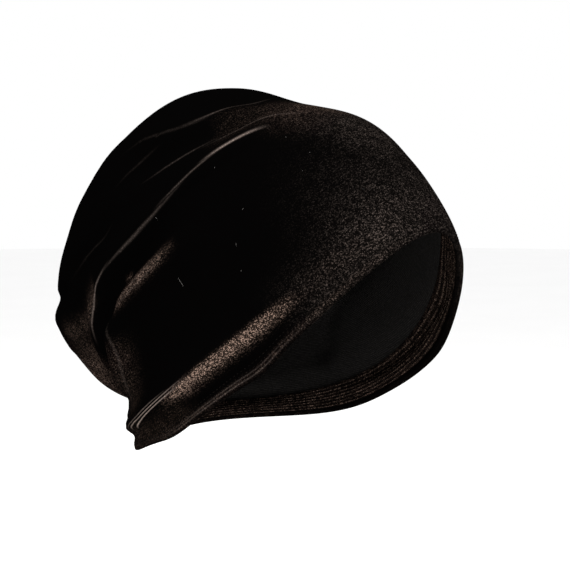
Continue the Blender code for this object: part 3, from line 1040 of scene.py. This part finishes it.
@dataclass
class HemStitching:
    """Rows of small stitches that hold the turned-in hem."""

    form: HatForm
    thread: Material
    rows: tuple[float, ...] = (0.0165, 0.0245)
    spacing: float = 2.3 * MM
    length: float = 1.2 * MM
    thickness: float = 0.26 * MM
    above_pile: float = 0.05 * MM
    path_points: int = 360
    smallest: float = 0.75
    largest: float = 1.15
    seed: int = 4

    def path(self) -> Mesh:
        """The rows as rings of edges that lie on the pile."""
        count = self.path_points
        around = np.linspace(0, 2 * math.pi, count, endpoint=False)
        points, edges = [], []
        for up in self.rows:
            first = len(points)
            ring = self.form.points(around, np.full_like(around, up), -self.above_pile)
            points.extend(ring.tolist())
            edges.extend((first + k, first + (k + 1) % count) for k in range(count))
        data = bpy.data.meshes.new("stitch_rows")
        data.from_pydata(points, edges, [])
        return data

    def tree(self) -> NodeTree:
        """Geometry nodes that lay a stitch at each step along the rows."""
        tree = bpy.data.node_groups.new("lay_stitches", "GeometryNodeTree")
        inputs = {"Geometry": "Geometry", "Spacing": "Float", "Length": "Float",
                  "Thickness": "Float", "Seed": "Int", "Thread": "Material"}
        for key, kind in inputs.items():
            tree.interface.new_socket(key, in_out="INPUT", socket_type=f"NodeSocket{kind}")
        tree.interface.new_socket("Geometry", in_out="OUTPUT", socket_type="NodeSocketGeometry")
        make = NodeMaker(tree)
        given = make.add("NodeGroupInput").outputs
        curve = make.add("GeometryNodeMeshToCurve", {0: given["Geometry"]})
        steps = make.add("GeometryNodeResampleCurve", {0: curve.outputs[0],
                         "Length": given["Spacing"]}, mode="LENGTH")
        ball = make.add("GeometryNodeMeshUVSphere", {"Segments": 6, "Rings": 4, "Radius": 0.5})
        size = make.add("ShaderNodeCombineXYZ", {0: given["Length"], 1: given["Thickness"],
                        2: given["Thickness"]})
        stitch = make.add("GeometryNodeTransform", {0: ball.outputs[0], "Scale": size.outputs[0]})
        tangent = make.add("GeometryNodeInputTangent")
        turn = make.add("FunctionNodeAlignRotationToVector", {"Vector": tangent.outputs[0]},
                        axis="X")
        uneven = make.add("FunctionNodeRandomValue", {"Seed": given["Seed"], 2: self.smallest,
                          3: self.largest}, data_type="FLOAT")
        laid = make.add("GeometryNodeInstanceOnPoints", {"Points": steps.outputs[0],
                        "Instance": stitch.outputs[0], "Rotation": turn.outputs[0],
                        "Scale": uneven.outputs[1]})
        real = make.add("GeometryNodeRealizeInstances", {0: laid.outputs[0]})
        done = make.add("GeometryNodeSetMaterial", {0: real.outputs[0],
                        "Material": given["Thread"]})
        make.add("NodeGroupOutput", {0: done.outputs[0]})
        return tree

    def build(self) -> Object:
        """Builds the stitches as one plain mesh."""
        guide = add_object("stitch_guide", self.path())
        modifier = guide.modifiers.new("lay", "NODES")
        modifier.node_group = self.tree()
        values = {"Spacing": self.spacing, "Length": self.length, "Thickness": self.thickness,
                  "Seed": self.seed, "Thread": self.thread}
        for item in modifier.node_group.interface.items_tree:
            if item.in_out == "INPUT" and item.name in values:
                modifier[item.identifier] = values[item.name]
        piece = made_real(guide, "hem_stitches")
        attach(piece, "root")
        return piece


def made_real(guide: Object, name: str) -> Object:
    """Turns an object's evaluated geometry into a plain mesh object and removes the object.

    Args:
        guide: The object with its geometry nodes.
        name: The new piece's name.

    Returns:
        The new piece, at the origin.
    """
    depsgraph = bpy.context.evaluated_depsgraph_get()
    data = bpy.data.meshes.new_from_object(guide.evaluated_get(depsgraph))
    data.name = name
    data.shade_smooth()
    bpy.data.objects.remove(guide)
    return add_object(name, data)


class Speck(NamedTuple):
    """A bit of lint on the pile: its place, its length and how it is turned."""

    around: float
    up: float
    length: float
    turn: float


@dataclass
class Lint:
    """The few pale fibres and specks that cling to the pile."""

    form: HatForm
    fibre: Material
    specks: tuple[Speck, ...] = table(
        Speck,
        (-46, 0.289, 0.6, 20),
        (-66, 0.312, 0.9, 70),
        (-49, 0.209, 0.7, 0),
        (-55, 0.179, 0.9, 60),
        (-57, 0.145, 0.6, 40),
        (-72, 0.206, 4.4, 90),
        (-26, 0.209, 0.9, 10),
        (-31, 0.194, 0.4, 50),
        (-27, 0.251, 0.6, 80),
        (-20, 0.120, 0.5, 30),
        (48, 0.230, 0.8, 75),
        (96, 0.520, 1.4, 15),
    )
    thickness: float = 0.06 * MM
    above_pile: float = 0.1 * MM
    rings: int = 6
    reach_round: float = 80 * MM
    reach_up: float = 300 * MM

    def build(self) -> Object:
        """Builds the fibres as one mesh."""
        mesh = bmesh.new()
        for speck in self.specks:
            self.lay(mesh, speck)
        data = mesh_data(mesh, "lint")
        data.materials.append(self.fibre)
        data.shade_smooth()
        piece = add_object("lint", data)
        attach(piece, "root")
        return piece

    def lay(self, mesh: bmesh.types.BMesh, speck: Speck) -> None:
        """Adds one fibre that follows the pile for its length."""
        angle = math.radians(speck.turn)
        half = speck.length * MM / 2
        steps = np.linspace(-half, half, self.rings)
        around = math.radians(speck.around) + steps * math.cos(angle) / self.reach_round
        up = speck.up + steps * math.sin(angle) / self.reach_up
        route = self.form.points(around, up, -self.above_pile)
        out = self.form.outward(around, up)
        rings = []
        for place, (point, normal) in enumerate(zip(route, out)):
            along = route[min(place + 1, self.rings - 1)] - route[max(place - 1, 0)]
            side = unit(np.cross(along, normal))
            swell = math.sin(math.pi * (place + 0.5) / self.rings)
            width = self.thickness * (0.5 + 0.5 * swell)
            corners = (side, normal, -side, -normal)
            rings.append([mesh.verts.new(point + corner * width) for corner in corners])
        for lower, upper in zip(rings, rings[1:]):
            for k, after in enumerate((1, 2, 3, 0)):
                mesh.faces.new((lower[k], upper[k], upper[after], lower[after]))
        mesh.faces.new(rings[0])
        mesh.faces.new(rings[-1][::-1])


class Lamp(NamedTuple):
    """A soft lamp: where it stands, its size, its power and its colour."""

    name: str
    place: tuple[float, float, float]
    size: float
    watts: float
    colour: Colour


@dataclass
class Studio:
    """A plain pale floor, soft lamps and the camera at the photo's angle."""

    azimuth: float = -42.0
    elevation: float = 5.5
    distance: float = 0.519
    aim: tuple[float, float, float] = (-0.0064, 0.0043, 0.0285)
    lens: float = 63.16
    floor_drop: float = 0.30
    floor_radius: float = 6.0
    paper: tuple[Colour, Colour] = ((0.93, 0.93, 0.93), (0.96, 0.96, 0.96))
    lamps: tuple[Lamp, ...] = table(
        Lamp,
        ("overhead_lamp", (-0.25, -0.05, 0.95), 0.7, 9.0, (1.0, 0.98, 0.95)),
        ("front_lamp", (-0.75, -0.65, 0.45), 0.6, 4.0, (1.0, 0.99, 0.97)),
        ("left_lamp", (0.85, -0.35, 0.40), 0.6, 3.0, (1.0, 0.98, 0.96)),
        ("back_lamp", (0.10, 0.95, 0.50), 0.7, 4.0, (1.0, 1.0, 1.0)),
    )
    backdrop: float = 1.0

    def build(self) -> None:
        """Builds the floor, the lamps, the sky and the camera."""
        self.add_floor()
        for lamp in self.lamps:
            self.add_lamp(lamp)
        world = bpy.data.worlds.new("studio_sky")
        world.use_nodes = True
        sky = world.node_tree.nodes["Background"]
        sky.inputs["Color"].default_value = (1, 1, 1, 1)
        sky.inputs["Strength"].default_value = self.backdrop
        bpy.context.scene.world = world
        bpy.context.scene.view_settings.view_transform = "Standard"
        self.add_camera()

    def add_floor(self) -> None:
        """A wide round floor of pale paper, below the hat."""
        mesh = bmesh.new()
        bmesh.ops.create_circle(mesh, cap_ends=True, radius=self.floor_radius, segments=96)
        data = mesh_data(mesh, "studio_floor")
        material, make = new_material("pale_paper")
        noise = make.add("ShaderNodeTexNoise", {"Scale": 60.0, "Detail": 2.0})
        make.shade({
            "Base Color": make.blend(noise.outputs["Fac"], *self.paper),
            "Roughness": 0.9,
            "Specular IOR Level": 0.1,
        })
        data.materials.append(material)
        floor = add_object("studio_floor", data)
        floor.location.z = -self.floor_drop

    @staticmethod
    def add_lamp(lamp: Lamp) -> None:
        """Adds a square soft lamp that points at the hat."""
        data = bpy.data.lights.new(lamp.name, "AREA")
        data.size = lamp.size
        data.energy = lamp.watts
        data.color = lamp.colour
        light = add_object(lamp.name, data)
        light.location = lamp.place
        light.rotation_euler = (-Vector(lamp.place)).to_track_quat("-Z", "Y").to_euler()

    def add_camera(self) -> None:
        """Adds the camera and makes it the scene's own."""
        turn, tilt = math.radians(self.azimuth), math.radians(self.elevation)
        back = Vector((math.sin(turn) * math.cos(tilt), -math.cos(turn) * math.cos(tilt),
                       math.sin(tilt)))
        data = bpy.data.cameras.new("photo_camera")
        data.lens = self.lens
        data.sensor_width = 36.0
        data.clip_start = 0.01
        camera = add_object("photo_camera", data)
        camera.location = Vector(self.aim) + back * self.distance
        camera.rotation_euler = (-back).to_track_quat("-Z", "Y").to_euler()
        bpy.context.scene.camera = camera


def main() -> None:
    """Builds every piece of the hat and its studio, in order."""
    logging.basicConfig(level=logging.INFO, format="%(message)s")
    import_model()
    form = HatForm()
    grain, ribs = PileGrain().group(), KnitRibs().group()
    pile = VelvetFinish("velvet_pile", grain, ribs).material()
    facing_finish = VelvetFinish("velvet_facing_pile", grain, ribs, rib_share=0.1, line_sets=0)
    facing_pile = facing_finish.material()
    knit_back = KnitBackFinish(ribs, grain).material()
    thread = ThreadFinish("hem_thread", (0.001, 0.0009, 0.0008), (0.012, 0.009, 0.007)).material()
    fibre = ThreadFinish("pale_lint", (0.08, 0.077, 0.074), (0.22, 0.21, 0.20)).material()
    pieces = [
        Crown(form, pile, knit_back).build(),
        HemFacing(form, facing_pile).build(),
        HemStitching(form, thread).build(),
        Lint(form, fibre).build(),
    ]
    for piece in pieces:
        piece.data.calc_loop_triangles()
        LOG.info("%s: %d triangles", piece.name, len(piece.data.loop_triangles))
    Studio().build()


if __name__ == "__main__":
    main()
